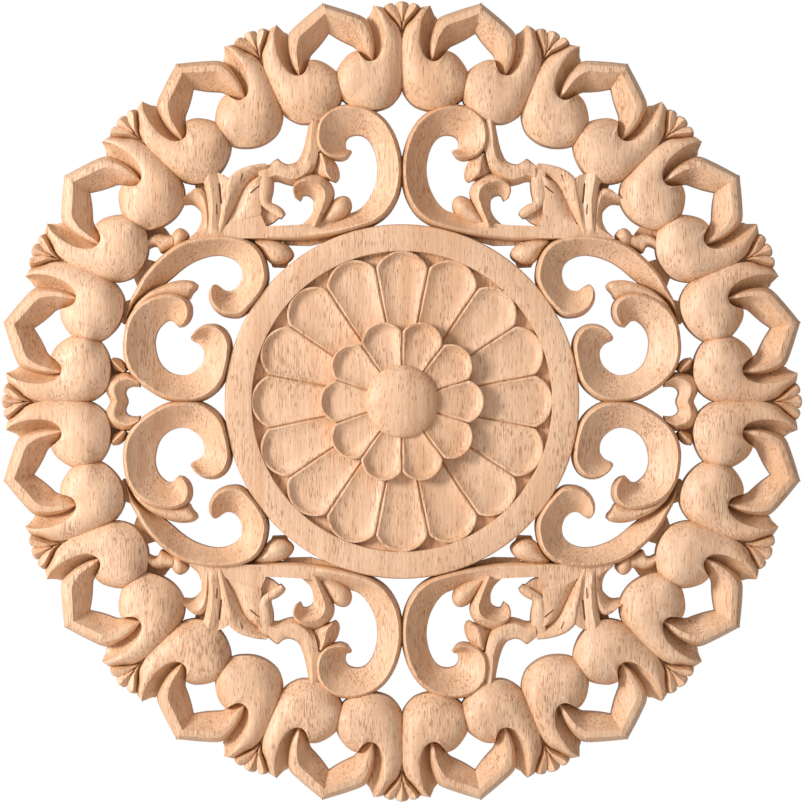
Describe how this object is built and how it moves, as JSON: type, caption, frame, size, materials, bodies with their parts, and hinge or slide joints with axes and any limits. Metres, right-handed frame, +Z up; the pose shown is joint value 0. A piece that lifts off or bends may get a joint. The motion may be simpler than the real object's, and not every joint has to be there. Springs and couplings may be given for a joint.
{
  "type": "wood applique",
  "caption": "Round pierced wood applique carved in one board, with a petalled rosette in a flat band, leafy scrollwork and an outer ring of pointed arches and bulbs.",
  "frame": {"origin": "centre of the flat back face", "axes": "+Y out of the back face into the wall, +Z up as pictured, +X to the viewer's right"},
  "size_m": [0.2954, 0.02, 0.2954],
  "materials": {
    "wood": "bare sanded rubberwood, matt"
  },
  "bodies": {
    "root": {"applique": "wood"}
  },
  "joints": []
}
